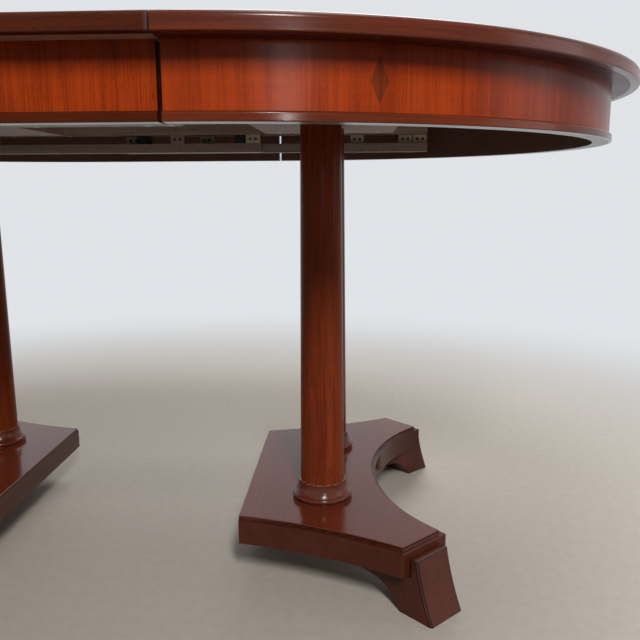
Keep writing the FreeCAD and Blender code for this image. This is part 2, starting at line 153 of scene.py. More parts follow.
class Signal:
    """A socket in a material's nodes. Arithmetic on it adds Math nodes."""

    def __init__(self, finish, socket):
        self.finish = finish
        self.socket = socket

    def math(self, operation, *values):
        return self.finish.node("ShaderNodeMath", {"operation": operation}, dict(enumerate(values)))

    def __add__(self, other):
        return self.math("ADD", self, other)

    def __sub__(self, other):
        return self.math("SUBTRACT", self, other)

    def __rsub__(self, other):
        return self.math("SUBTRACT", other, self)

    def __mul__(self, other):
        return self.math("MULTIPLY", self, other)

    def __truediv__(self, other):
        return self.math("DIVIDE", self, other)

    def __lt__(self, other):
        return self.math("LESS_THAN", self, other)

    def __gt__(self, other):
        return self.math("GREATER_THAN", self, other)

    def call(self, operation):
        """One-input Math node, such as ABSOLUTE or FLOOR."""
        return self.math(operation, self)

    def between(self, low, high):
        """0 at low, 1 at high, and smooth between them."""
        settings = {"interpolation_type": "SMOOTHSTEP"}
        return self.finish.node("ShaderNodeMapRange", settings, {"Value": self, 1: low, 2: high})

    def span(self, first, last):
        """First where this is 0, last where it is 1, and in proportion between them."""
        return self * (last - first) + first


class Finish:
    """One material and the nodes in it."""

    def __init__(self, name):
        self.material = bpy.data.materials.new(name)
        self.material.use_nodes = True
        self.tree = self.material.node_tree
        self.shader = self.tree.nodes["Principled BSDF"]
        self.place = self.node("ShaderNodeTexCoord", {}, {}, "Object")

    def feed(self, socket, value):
        if isinstance(value, Signal):
            self.tree.links.new(value.socket, socket)
        else:
            socket.default_value = value

    def node(self, kind, settings, inputs, output=0):
        """Add a node, set its settings, then fill its inputs with values or signals."""
        made = self.tree.nodes.new(kind)
        for name, value in settings.items():
            setattr(made, name, value)
        for name, value in inputs.items():
            self.feed(made.inputs[name], value)
        return Signal(self, made.outputs[output])

    def set(self, **inputs):
        """Fill the shader's own sockets, with spaces in their names written as underscores."""
        for name, value in inputs.items():
            self.feed(self.shader.inputs[name.replace("_", " ")], value)

    def axes(self):
        split = self.node("ShaderNodeSeparateXYZ", {}, {0: self.place}).socket.node
        return [Signal(self, output) for output in split.outputs]

    def vector(self, x, y, z):
        return self.node("ShaderNodeCombineXYZ", {}, {0: x, 1: y, 2: z})

    def level_distance(self, x, y):
        """Length of the level line from the middle to a point."""
        return self.node("ShaderNodeVectorMath", {"operation": "LENGTH"}, {0: self.vector(x, y, 0.0)}, 1)

    def noise(self, vector, detail):
        return self.node("ShaderNodeTexNoise", {}, {"Vector": vector, "Scale": 1.0, "Detail": detail})

    def even_noise(self, waves, detail):
        """Noise with the same number of waves a metre every way."""
        return self.noise(self.vector(*[axis * waves for axis in self.axes()]), detail)

    def mix(self, factor, first, second, blend="MIX"):
        settings = {"data_type": "RGBA", "blend_type": blend}
        return self.node("ShaderNodeMix", settings, {0: factor, 6: first, 7: second}, 2)

    def shade(self, colour, level):
        """Multiply a colour by a number."""
        grey = self.node("ShaderNodeCombineColor", {}, {0: level, 1: level, 2: level})
        return self.mix(1.0, colour, grey, "MULTIPLY")

    def vary(self, colour, tone, spread):
        """Lighten and darken a colour by up to a spread, as a tone goes from 0 to 1."""
        return self.shade(colour, tone.span(1.0 - spread, 1.0 + spread))

    def bump(self, height, strength):
        inputs = {"Strength": strength, "Distance": BUMP_DEPTH, "Height": height}
        return self.node("ShaderNodeBump", {}, inputs)

    def marked(self, layer):
        """The value of a piece's own face layer."""
        return self.node("ShaderNodeAttribute", {"attribute_name": layer}, {}, "Fac")

    def rim(self):
        """Angle round a half from its front joint, distance from its middle, height, and its own shift."""
        x, y, z = self.axes()
        out = x.call("ABSOLUTE") - PITCH
        turn = out.math("ARCTAN2", out, y * -1.0)
        return turn, self.level_distance(out, y), z, (x > 0.0) * GRAIN_SHIFT


# Ways that the grain of a piece can lie: each gives two distances across the grain and one along it


def standing(finish):
    return finish.axes()


def lengthwise(finish):
    x, y, z = finish.axes()
    return y, z, x


def crosswise(finish):
    x, y, z = finish.axes()
    return x, z, y


def book_matched(finish):
    """Lengthwise veneer in sheets laid like the pages of a book, so that neighbours mirror each other."""
    x, y, z = finish.axes()
    pair = y / (2 * VENEER_SHEET)
    return (pair - pair.call("FLOOR") - 0.5).call("ABSOLUTE") * (2 * VENEER_SHEET), z, x


def round_rim(finish):
    turn, radius, z, shift = finish.rim()
    return z + shift, radius, turn * TOP_RADIUS


def upright_on_rim(finish):
    turn, radius, z, shift = finish.rim()
    return turn * APRON_RADIUS + shift, radius, z


class Grain:
    """Wood figure on a piece: fine fibres, wider streaks, slow clouds and open pores, each about 0 to 1."""

    def __init__(self, finish, lay):
        self.finish = finish
        self.across, self.deep, self.along = lay(finish)
        self.fibre = self.stretched(across=700.0, along=12.0, detail=3.0).between(*FIGURE_RANGE)
        self.streak = self.stretched(across=70.0, along=1.8, detail=3.0).between(*FIGURE_RANGE)
        self.cloud = self.stretched(across=11.0, along=4.0, detail=3.0).between(*FIGURE_RANGE)
        self.pore = self.stretched(across=1000.0, along=120.0, detail=1.0).between(*PORE_RANGE)

    def stretched(self, across, along, detail):
        """Noise with so many waves a metre across the grain and along it."""
        where = self.finish.vector(self.across * across, self.deep * across, self.along * along)
        return self.finish.noise(where, detail)

    def blend(self, streak, fibre, cloud):
        """Streaks, fibres and clouds together, each in its own share."""
        return self.streak * streak + self.fibre * fibre + self.cloud * cloud


def figured(name, lay, light, dark, streak, fibre, cloud, pore):
    """Start a finish with wood figure in its colour. The last four say how strongly each part shows."""
    finish = Finish(name)
    grain = Grain(finish, lay)
    share = grain.blend(streak, fibre, cloud) + (1.0 - streak - fibre - cloud) / 2
    colour = finish.mix(share.between(0.0, 1.0), linear(dark), linear(light))
    return finish, grain, finish.shade(colour, grain.pore.span(1.0, 1.0 - pore))


def lacquered(name, lay, light, dark, rough, streak=0.5, fibre=0.4, cloud=0.5, pore=0.25, sheen=0.05):
    """Stained and lacquered wood. Returns the finish, its grain and its colour before any inlay or edge."""
    finish, grain, colour = figured(name, lay, light, dark, streak, fibre, cloud, pore)
    wave = finish.even_noise(waves=40.0, detail=2.0)
    height = grain.fibre * FIBRE_HEIGHT + wave * WAVE_HEIGHT - grain.pore * PORE_HEIGHT
    finish.set(Base_Color=colour, Roughness=grain.fibre * FIBRE_ROUGH + grain.cloud * CLOUD_ROUGH + rough,
               Specular_IOR_Level=sheen, Coat_Roughness=COAT_ROUGHNESS,
               Normal=finish.bump(height, LACQUER_BUMP))
    return finish, grain, colour


def raw(name, lay, light, dark, rough):
    """Bare wood: dull, with open grain."""
    finish, grain, colour = figured(name, lay, light, dark, streak=0.45, fibre=0.35, cloud=0.3, pore=0.4)
    finish.set(Base_Color=colour, Roughness=grain.fibre * RAW_FIBRE_ROUGH + rough,
               Normal=finish.bump(grain.fibre, RAW_BUMP))
    return finish


def butted(finish, colour, place, spread):
    """Give each length of a moulding its own tone. Place counts the lengths."""
    tone = finish.node("ShaderNodeTexWhiteNoise", {"noise_dimensions": "1D"}, {"W": place.call("FLOOR")})
    return finish.vary(colour, tone, spread)


def below(finish, level):
    """1 on faces at or under a level."""
    return finish.axes()[2] < level + SKIN


def bare_where(finish, colour, mask, bare):
    """Leave the faces in a mask unstained, with a little of the wood's own cloud."""
    patchy = finish.vary(linear(bare), finish.even_noise(waves=120.0, detail=3.0), spread=0.2)
    finish.set(Base_Color=finish.mix(mask, colour, patchy))


def darken(finish, mask, level):
    """Bring a finish's colour down to a share of itself where a mask is 1."""
    colour = Signal(finish, finish.shader.inputs["Base Color"].links[0].from_socket)
    finish.set(Base_Color=finish.shade(colour, mask.span(1.0, level)))


def leaf_moulding(colours):
    """Light and dark stripes of the leaf's mouldings, which are darker than those of the halves."""
    return dimmed(colours.moulding_light, LEAF_TONE), dimmed(colours.moulding_dark, LEAF_TONE)


def both_halves(*names):
    return [f"{half}_{name}" for half in HALVES for name in names]


def dress(finish, names):
    """Give CAD nodes a finish."""
    for name in names:
        piece = NODES[name]
        piece.data.materials.clear()
        piece.data.materials.append(finish.material)


def copied(name, layer):
    """A CAD node's mesh in a bmesh with its seams closed, and a new layer to mark its faces in."""
    shape = bmesh.new()
    shape.from_mesh(NODES[name].data)
    marks = shape.faces.layers.float.new(layer)
    bmesh.ops.remove_doubles(shape, verts=shape.verts, dist=MERGE)
    return shape, marks


def stand_in(shape, node, finish):
    """Make a piece from a bmesh, and let it stand for a CAD node of one half."""
    for face in shape.faces:
        face.smooth = True
    for edge in shape.edges:
        edge.smooth = edge.calc_face_angle(math.pi) < CREASE
    mesh = bpy.data.meshes.new(f"{node}_shaped")
    shape.to_mesh(mesh)
    shape.free()
    mesh.materials.append(finish.material)
    piece = bpy.data.objects.new(f"{node}_shaped", mesh)
    bpy.context.scene.collection.objects.link(piece)
    even = piece.modifiers.new("even_shading", "WEIGHTED_NORMAL")
    even.keep_sharp = True
    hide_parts(node)
    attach(piece, f"{node.split('_')[0]}_half")


def islands(shape):
    """Sets of joined faces, one for each solid in a node."""
    left = set(shape.faces)
    while left:
        island, fresh = set(), {left.pop()}
        while fresh:
            island |= fresh
            fresh = {other for face in fresh for edge in face.edges for other in edge.link_faces} - island
        left -= island
        yield island


def mark_holes(finish, names):
    """Copy CAD nodes and mark the faces inside each solid's own box: the walls and floors of its holes."""
    for name in names:
        shape, hole = copied(name, HOLE)
        for island in islands(shape):
            corners = [vert.co for face in island for vert in face.verts]
            spans = [(min(places) + SKIN, max(places) - SKIN) for places in zip(*corners)]
            for face in island:
                middle = face.calc_center_median()
                face[hole] = float(all(low < place < high for place, (low, high) in zip(middle, spans)))
        stand_in(shape, name, finish)


def ease(finish, names, width):
    """Copy CAD nodes with their long arrises rounded off, as sanding leaves them."""
    for name in names:
        shape, arris = copied(name, ARRIS)
        bmesh.ops.dissolve_limit(shape, angle_limit=FLAT, verts=shape.verts, edges=shape.edges)
        arrises = [edge for edge in shape.edges if edge.is_manifold and edge.is_convex
                   and edge.calc_face_angle() > CREASE and edge.calc_length() > SHORTEST_ARRIS * width]
        rounded = bmesh.ops.bevel(shape, geom=arrises, offset=width, offset_type="OFFSET", affect="EDGES",
                                  segments=ARRIS_STEPS, profile=CIRCULAR, material=-1, clamp_overlap=False)
        for face in rounded["faces"]:
            face[arris] = 1.0
        stand_in(shape, name, finish)


class TableColours(bpy.types.PropertyGroup):
    """Screen colours of the table's woods and fittings, the floor and the backdrop."""

    veneer_light: FloatVectorProperty(
        name="Veneer, light", description="Lighter stripes of the apron and top veneer",
        default=(0.62, 0.225, 0.06), subtype="COLOR_GAMMA", min=0.0, max=1.0)
    veneer_dark: FloatVectorProperty(
        name="Veneer, dark", description="Darker stripes of the apron and top veneer",
        default=(0.49, 0.165, 0.045), subtype="COLOR_GAMMA", min=0.0, max=1.0)
    column_light: FloatVectorProperty(
        name="Columns, light", description="Lighter stripes of the columns",
        default=(0.55, 0.235, 0.115), subtype="COLOR_GAMMA", min=0.0, max=1.0)
    column_dark: FloatVectorProperty(
        name="Columns, dark", description="Darker stripes of the columns",
        default=(0.42, 0.165, 0.075), subtype="COLOR_GAMMA", min=0.0, max=1.0)
    collar: FloatVectorProperty(
        name="Collars", description="Turned collars at the foot of the columns",
        default=(0.44, 0.20, 0.125), subtype="COLOR_GAMMA", min=0.0, max=1.0)
    rubbed: FloatVectorProperty(
        name="Rubbed edge", description="Collar edges where the stain has rubbed off",
        default=(0.62, 0.46, 0.36), subtype="COLOR_GAMMA", min=0.0, max=1.0)
    moulding_light: FloatVectorProperty(
        name="Mouldings, light", description="Lighter stripes of the top's edge and the bead",
        default=(0.43, 0.165, 0.055), subtype="COLOR_GAMMA", min=0.0, max=1.0)
    moulding_dark: FloatVectorProperty(
        name="Mouldings, dark", description="Darker stripes of the top's edge and the bead",
        default=(0.30, 0.115, 0.045), subtype="COLOR_GAMMA", min=0.0, max=1.0)
    grey_end: FloatVectorProperty(
        name="Grey end", description="End of the leaf's moulded edge, in a greyish tone",
        default=(0.29, 0.22, 0.22), subtype="COLOR_GAMMA", min=0.0, max=1.0)
    plinth_light: FloatVectorProperty(
        name="Plinth top, light", description="Lighter stripes of the plinth's raised field",
        default=(0.47, 0.20, 0.115), subtype="COLOR_GAMMA", min=0.0, max=1.0)
    plinth_dark: FloatVectorProperty(
        name="Plinth top, dark", description="Darker stripes of the plinth's raised field",
        default=(0.40, 0.165, 0.095), subtype="COLOR_GAMMA", min=0.0, max=1.0)
    foot_light: FloatVectorProperty(
        name="Feet, light", description="Lighter stripes of the feet and the plinth's sides",
        default=(0.38, 0.18, 0.115), subtype="COLOR_GAMMA", min=0.0, max=1.0)
    foot_dark: FloatVectorProperty(
        name="Feet, dark", description="Darker stripes of the feet and the plinth's sides",
        default=(0.28, 0.13, 0.088), subtype="COLOR_GAMMA", min=0.0, max=1.0)
    inlay: FloatVectorProperty(
        name="Lozenge", description="Inlaid lozenges in the apron",
        default=(0.46, 0.185, 0.08), subtype="COLOR_GAMMA", min=0.0, max=1.0)
    bare: FloatVectorProperty(
        name="Bare edge", description="Unstained undersides of the aprons and beads",
        default=(0.50, 0.45, 0.39), subtype="COLOR_GAMMA", min=0.0, max=1.0)
    inner: FloatVectorProperty(
        name="Inner faces", description="Thin dark stain inside the aprons",
        default=(0.45, 0.335, 0.295), subtype="COLOR_GAMMA", min=0.0, max=1.0)
    upper_rail: FloatVectorProperty(
        name="Upper bars", description="Bare wood of the upper bars of the slides",
        default=(0.81, 0.735, 0.67), subtype="COLOR_GAMMA", min=0.0, max=1.0)
    rail: FloatVectorProperty(
        name="Lower bars", description="Bare wood of the lower bars of the slides",
        default=(0.70, 0.63, 0.57), subtype="COLOR_GAMMA", min=0.0, max=1.0)
    plate: FloatVectorProperty(
        name="Column plate", description="Bare wood of the plates over the columns and under the tops",
        default=(0.61, 0.475, 0.405), subtype="COLOR_GAMMA", min=0.0, max=1.0)
    block: FloatVectorProperty(
        name="End block", description="Pale blocks at the ends of the slides and between the right bars",
        default=(0.94, 0.885, 0.77), subtype="COLOR_GAMMA", min=0.0, max=1.0)
    dowel_light: FloatVectorProperty(
        name="Dowels, light", description="Lighter stripes of the dowels",
        default=(0.75, 0.6, 0.42), subtype="COLOR_GAMMA", min=0.0, max=1.0)
    dowel_dark: FloatVectorProperty(
        name="Dowels, dark", description="Darker stripes of the dowels",
        default=(0.62, 0.48, 0.33), subtype="COLOR_GAMMA", min=0.0, max=1.0)
    nylon_light: FloatVectorProperty(
        name="Shoes, light", description="Lighter specks of the guide shoes",
        default=(0.10, 0.105, 0.11), subtype="COLOR_GAMMA", min=0.0, max=1.0)
    nylon_dark: FloatVectorProperty(
        name="Shoes, dark", description="Darker specks of the guide shoes",
        default=(0.055, 0.06, 0.065), subtype="COLOR_GAMMA", min=0.0, max=1.0)
    steel_bright: FloatVectorProperty(
        name="Fixings, bright", description="Clean plating of the rods, nuts, bolts and screws",
        default=(0.76, 0.76, 0.76), subtype="COLOR_GAMMA", min=0.0, max=1.0)
    steel_dull: FloatVectorProperty(
        name="Fixings, dull", description="Dulled plating of the rods, nuts, bolts and screws",
        default=(0.62, 0.60, 0.55), subtype="COLOR_GAMMA", min=0.0, max=1.0)
    floor: FloatVectorProperty(
        name="Floor", description="Plain floor under the table",
        default=(0.785, 0.75, 0.70), subtype="COLOR_GAMMA", min=0.0, max=1.0)
    backdrop: FloatVectorProperty(
        name="Backdrop", description="Plain pale surround",
        default=(0.88, 0.89, 0.905), subtype="COLOR_GAMMA", min=0.0, max=1.0)


class TableShapes(bpy.types.PropertyGroup):
    """Layout of the veneer and mouldings, and how far edges are eased."""

    strips: IntProperty(
        name="Strips", description="Whole strips of veneer round each half of the apron",
        default=17, min=1)
    end_strip: FloatProperty(
        name="End strip", description="Angle of the part strip beside each joint",
        default=math.radians(3.75), subtype="ANGLE")
    seam: FloatProperty(
        name="Seam", description="Width of the pale line between two strips",
        default=0.0013, unit="LENGTH")
    inner_depth: FloatProperty(
        name="Inner depth", description="How far behind the apron's face its inner stain starts",
        default=0.011, unit="LENGTH")
    bead_length: FloatProperty(
        name="Bead length", description="Angle that one length of the bead covers",
        default=math.radians(23.0), subtype="ANGLE")
    bead_start: FloatProperty(
        name="Bead start", description="Share of a length of the bead that is cut off at the front joint",
        default=0.35, min=0.0, max=1.0)
    lipping_length: FloatProperty(
        name="Lipping length", description="Angle that one length of the top's edge covers",
        default=math.radians(45.0), subtype="ANGLE")
    top_round: FloatProperty(
        name="Top rounding", description="Rounding of the top's upper edge",
        default=0.006, unit="LENGTH")
    top_arris: FloatProperty(
        name="Top arris", description="Rounding of the top's lower edge", default=0.002, unit="LENGTH")
    plinth_field: FloatProperty(
        name="Plinth field", description="Height of the plinth's raised field",
        default=0.006, unit="LENGTH")
    plinth_arris: FloatProperty(
        name="Plinth arris", description="Rounding of the plinth's edges",
        default=0.0009, unit="LENGTH")
    foot_arris: FloatProperty(
        name="Foot arris", description="Rounding of the feet's edges", default=0.0014, unit="LENGTH")
    rubbed_width: FloatProperty(
        name="Rubbed edge", description="Height of the rubbed edge of a collar",
        default=0.0012, unit="LENGTH")
    grey_end_width: FloatProperty(
        name="Grey end", description="Length of the greyish end of the leaf's moulded edge",
        default=0.003, unit="LENGTH")
    # Painted shade round the foot of each collar, where it meets the plinth
    collar_shade_width: FloatProperty(
        name="Collar shade", description="Height of the dark line round the foot of a collar",
        default=0.0025, unit="LENGTH")
    slide_arris: FloatProperty(
        name="Slide arris", description="Rounding of the slides' and plates' edges",
        default=0.0006, unit="LENGTH")


class TableStage(bpy.types.PropertyGroup):
    """Camera, lights and floor."""

    eye: FloatVectorProperty(
        name="Camera place", description="Where the camera stands",
        default=(0.38635, -1.2741, 0.6131), subtype="TRANSLATION", unit="LENGTH")
    yaw: FloatProperty(
        name="Yaw", description="Turn of the camera to the left", default=0.0491, subtype="ANGLE")
    pitch: FloatProperty(
        name="Pitch", description="Tilt of the camera below the horizon",
        default=0.1807, subtype="ANGLE")
    roll: FloatProperty(
        name="Roll", description="Turn of the camera about its own line of sight",
        default=0.005, subtype="ANGLE")
    lens: FloatProperty(
        name="Lens", description="Focal length on a 36 mm sensor", default=41.49, unit="CAMERA")
    key_place: FloatVectorProperty(
        name="Key place", description="Where the compact light stands, in front and above the camera",
        default=(0.715, -1.97, 1.72), subtype="TRANSLATION", unit="LENGTH")
    key_size: FloatVectorProperty(
        name="Key size", description="Width and height of the light in front", size=2,
        default=(0.24, 0.62), unit="LENGTH")
    key_watts: FloatProperty(
        name="Key power", description="Power of the light in front",
        default=36.0, min=0.0, unit="POWER")
    side_place: FloatVectorProperty(
        name="Side place", description="Where the soft light on the right stands",
        default=(2.5, -0.4, 0.95), subtype="TRANSLATION", unit="LENGTH")
    side_size: FloatVectorProperty(
        name="Side size", description="Width and height of the light on the right", size=2,
        default=(1.0, 1.0), unit="LENGTH")
    side_watts: FloatProperty(
        name="Side power", description="Power of the light on the right",
        default=5.0, min=0.0, unit="POWER")
    top_place: FloatVectorProperty(
        name="Top place", description="Where the soft light over the table hangs",
        default=(0.5, -0.4, 2.46), subtype="TRANSLATION", unit="LENGTH")
    top_size: FloatVectorProperty(
        name="Top size", description="Sides of the light over the table", size=2,
        default=(0.9, 0.9), unit="LENGTH")
    top_watts: FloatProperty(
        name="Top power", description="Power of the light over the table",
        default=16.0, min=0.0, unit="POWER")
    back_place: FloatVectorProperty(
        name="Back place", description="Where the wide light behind the table hangs",
        default=(0.3, 2.1, 2.7), subtype="TRANSLATION", unit="LENGTH")
    back_size: FloatVectorProperty(
        name="Back size", description="Sides of the light behind the table", size=2,
        default=(1.8, 1.8), unit="LENGTH")
    back_watts: FloatProperty(
        name="Back power", description="Power of the light behind the table",
        default=50.0, min=0.0, unit="POWER")
    glint_place: FloatVectorProperty(
        name="Glint place", description="Where the narrow light that shows only in the lacquer stands",
        default=(0.79, -1.97, 0.85), subtype="TRANSLATION", unit="LENGTH")
    glint_size: FloatVectorProperty(
        name="Glint size", description="Width and height of the narrow light", size=2,
        default=(0.05, 0.16), unit="LENGTH")
    glint_watts: FloatProperty(
        name="Glint power", description="Power of the narrow light", default=3.2, min=0.0, unit="POWER")
    room_light: FloatProperty(
        name="Room light", description="Strength of the even light from all round",
        default=0.1, min=0.0)
    floor_bounce: FloatProperty(
        name="Floor bounce", description="Share of its light that the floor sends back to the table",
        default=0.38, min=0.0, max=1.0)
    floor_radius: FloatProperty(
        name="Floor radius", description="Where the floor fades into the surround",
        default=2.6, unit="LENGTH")


def settings():
    scene = bpy.context.scene
    return scene.table_colours, scene.table_shapes, scene.table_stage


class TABLE_OT_finish_aprons(bpy.types.Operator):
    """Veneer the aprons in upright strips, and finish the lozenges and beads"""

    bl_idname = "table.finish_aprons"
    bl_label = "Finish aprons"

    def execute(self, context):
        colours, shapes, _ = settings()
        inner_radius = APRON_RADIUS - shapes.inner_depth
        finish, grain, colour = lacquered(
            "apron_veneer", upright_on_rim, colours.veneer_light, colours.veneer_dark, rough=0.2,
            sheen=0.08)
        turn, radius, _, shift = finish.rim()
        pitch = (math.pi - 2 * shapes.end_strip) / shapes.strips
        place = (turn - shapes.end_strip) / pitch
        colour = butted(finish, colour, place + shift * LENGTH_SHIFT, spread=0.1)
        ripple = grain.stretched(across=25.0, along=260.0, detail=2.0).between(0.3, 0.7)
        colour = finish.vary(colour, ripple, spread=0.04)
        inside = place - place.call("FLOOR")
        edge = (0.5 - (inside - 0.5).call("ABSOLUTE")) * (pitch * APRON_RADIUS)
        colour = finish.shade(colour, (edge < shapes.seam / 2).span(1.0, SEAM_TONE))
        colour = finish.mix(radius < inner_radius, colour, linear(colours.inner))
        bare_where(finish, colour, below(finish, APRON_BOTTOM), colours.bare)
        dress(finish, both_halves("apron"))

        finish, _, colour = lacquered(
            "leaf_apron_veneer", standing, colours.veneer_light, colours.veneer_dark, rough=0.2,
            fibre=0.7, pore=0.5)
        inside = finish.axes()[1].call("ABSOLUTE") < inner_radius
        colour = finish.mix(inside, colour, linear(colours.inner))
        bare_where(finish, colour, below(finish, APRON_BOTTOM), colours.bare)
        # Painted shade: the leaf apron's end face inside the joint is darkened
        darken(finish, finish.axes()[0] > LEAF_APRON_END - SKIN, SLOT_AND_JOINT_SHADE)
        dress(finish, ["leaf_front_apron", "leaf_back_apron"])

        finish, _, _ = lacquered(
            "lozenge_inlay", upright_on_rim, *striped(colours.inlay), rough=0.2, fibre=0.8)
        dress(finish, both_halves("apron_lozenges"))

        finish, _, colour = lacquered(
            "bead_wood", round_rim, colours.moulding_light, colours.moulding_dark, rough=0.12, sheen=0.12)
        turn, _, _, shift = finish.rim()
        place = turn / shapes.bead_length + shift * LENGTH_SHIFT + shapes.bead_start
        colour = butted(finish, colour, place, spread=0.25)
        bare_where(finish, colour, below(finish, APRON_BOTTOM), colours.bare)
        dress(finish, both_halves("apron_bead"))

        finish, _, colour = lacquered("leaf_bead_wood", lengthwise, *leaf_moulding(colours), rough=0.2)
        bare_where(finish, colour, below(finish, APRON_BOTTOM), colours.bare)
        dress(finish, ["leaf_front_bead", "leaf_back_bead"])
        return {"FINISHED"}


class TABLE_OT_finish_tops(bpy.types.Operator):
    """Finish the veneered panels, and turn the moulded edges of the half tops"""

    bl_idname = "table.finish_tops"
    bl_label = "Finish tops"

    def execute(self, context):
        colours, shapes, _ = settings()
        finish, colour = self.veneered("top_veneer", colours)
        _, radius, _, _ = finish.rim()
        under = below(finish, TOP_UNDERSIDE)
        colour = finish.mix(under, colour, linear(colours.moulding_dark))
        bare_where(finish, colour, under * (radius < APRON_RADIUS), colours.plate)
        dress(finish, both_halves("top_panel"))

        finish, colour = self.veneered("leaf_veneer", colours)
        bare_where(finish, colour, below(finish, TOP_UNDERSIDE), colours.plate)
        dress(finish, ["leaf_panel"])

        finish, _, colour = lacquered(
            "lipping_wood", round_rim, colours.moulding_light, colours.moulding_dark, rough=0.17,
            streak=0.8, pore=0.4, sheen=0.18)
        turn, _, _, shift = finish.rim()
        place = turn / shapes.lipping_length + shift * LENGTH_SHIFT
        finish.set(Base_Color=butted(finish, colour, place, spread=0.12))
        for half in HALVES:
            self.turn_lipping(half, finish, shapes)

        finish, _, colour = lacquered(
            "leaf_lipping_wood", lengthwise, *leaf_moulding(colours), rough=0.12, pore=0.5, sheen=0.09)
        # A greyish band at the end of the leaf's moulded edge, blending in over its own width
        grey_end_from = LEAF_END - GREY_END_START * shapes.grey_end_width
        grey_end = finish.axes()[0].between(grey_end_from, grey_end_from + shapes.grey_end_width)
        finish.set(Base_Color=finish.mix(grey_end * GREY_END_SHARE, colour, linear(colours.grey_end)))
        dress(finish, ["leaf_front_lipping", "leaf_back_lipping"])
        return {"FINISHED"}

    def veneered(self, name, colours):
        """Sheets of veneer, each with its own tone and one centred on the middle of the table."""
        finish, _, colour = lacquered(
            name, book_matched, colours.veneer_light, colours.veneer_dark, rough=0.24, cloud=0.25)
        return finish, butted(finish, colour, finish.axes()[1] / VENEER_SHEET + 0.5, spread=0.06)

    def turn_lipping(self, half, finish, shapes):
        """Round the section's outer corners, then sweep it half a turn from the front joint to the back."""
        side = 1 if half == "right" else -1
        shape = bmesh.new()
        corners = ((PANEL_RADIUS, TOP_UNDERSIDE), (TOP_RADIUS, TOP_UNDERSIDE),
                   (TOP_RADIUS, TABLE_HEIGHT), (PANEL_RADIUS, TABLE_HEIGHT))
        section = [shape.verts.new((side * PITCH, -out, height)) for out, height in corners]
        shape.faces.new(section)
        _, lower, upper, _ = section
        roundings = ((upper, shapes.top_round, TOP_ROUND_STEPS), (lower, shapes.top_arris, TOP_ARRIS_STEPS))
        for corner, width, steps in roundings:
            bmesh.ops.bevel(shape, geom=[corner], offset=width, offset_type="OFFSET", affect="VERTICES",
                            segments=steps, profile=CIRCULAR, material=-1)
        bmesh.ops.spin(shape, geom=shape.verts[:] + shape.edges[:] + shape.faces[:],
                       cent=(side * PITCH, 0, 0), axis=(0, 0, 1), dvec=(0, 0, 0), angle=side * math.pi,
                       steps=LIPPING_STEPS, use_duplicate=False)
        bmesh.ops.recalc_face_normals(shape, faces=shape.faces)
        stand_in(shape, f"{half}_top_lipping", finish)


class TABLE_OT_finish_pedestals(bpy.types.Operator):
    """Finish the columns and collars, and ease the edges of the plinths and feet"""

    bl_idname = "table.finish_pedestals"
    bl_label = "Finish pedestals"

    def execute(self, context):
        colours, shapes, _ = settings()
        finish, _, _ = lacquered(
            "column_wood", standing, colours.column_light, colours.column_dark, rough=0.2,
            streak=0.35, fibre=0.7, cloud=0.7, pore=0.45)
        dress(finish, both_halves("front_column", "back_column"))

        finish, _, colour = lacquered(
            "collar_wood", standing, *striped(colours.collar), rough=0.16, sheen=0.25)
        height = finish.axes()[2]
        patchy = finish.even_noise(waves=160.0, detail=3.0).between(0.35, 0.6)
        rubbed = (height > COLLAR_TOP - shapes.rubbed_width) * patchy * RUBBED_SHARE
        colour = finish.mix(rubbed, colour, linear(colours.rubbed))
        # Painted shade: the collar darkens towards its foot, where it meets the plinth
        collar_foot_shade = height.between(PLINTH_TOP + shapes.collar_shade_width, PLINTH_TOP)
        finish.set(Base_Color=finish.shade(colour, collar_foot_shade.span(1.0, COLLAR_SHADE_TONE)))
        dress(finish, both_halves("front_column_base", "back_column_base"))

        finish, grain, colour = lacquered(
            "plinth_wood", crosswise, colours.plinth_light, colours.plinth_dark, rough=0.2,
            streak=0.25, fibre=0.2)
        height = finish.axes()[2]
        raised = height > PLINTH_TOP - 2 * shapes.plinth_arris
        cove = (height > PLINTH_TOP - shapes.plinth_field + SKIN) - raised
        tone = grain.blend(streak=0.4, fibre=0.2, cloud=0.4)
        side = finish.mix(tone, linear(colours.foot_dark), linear(colours.foot_light))
        # Painted shade: the plinth's sides are darkened in the cove under the raised field
        side = finish.shade(side, cove.span(1.0, COVE_SHADE_TONE))
        colour = finish.mix(raised, side, colour)
        finish.set(Coat_Weight=raised.span(PLINTH_COAT, FIELD_COAT))
        bare_where(finish, colour, below(finish, PLINTH_BOTTOM), colours.plate)
        ease(finish, both_halves("plinth"), shapes.plinth_arris)

        finish, _, colour = lacquered(
            "foot_wood", standing, colours.foot_light, colours.foot_dark, rough=0.26,
            streak=0.3, fibre=0.3, sheen=0.25)
        # Painted shade: patches of the feet's eased arrises are darkened
        patch_mask = finish.marked(ARRIS) * finish.even_noise(waves=90.0, detail=3.0).between(0.25, 0.45)
        finish.set(Base_Color=finish.shade(colour, patch_mask.span(1.0, ARRIS_SHADE_TONE)))
        ease(finish, both_halves("front_foot", "back_foot"), shapes.foot_arris)
        return {"FINISHED"}


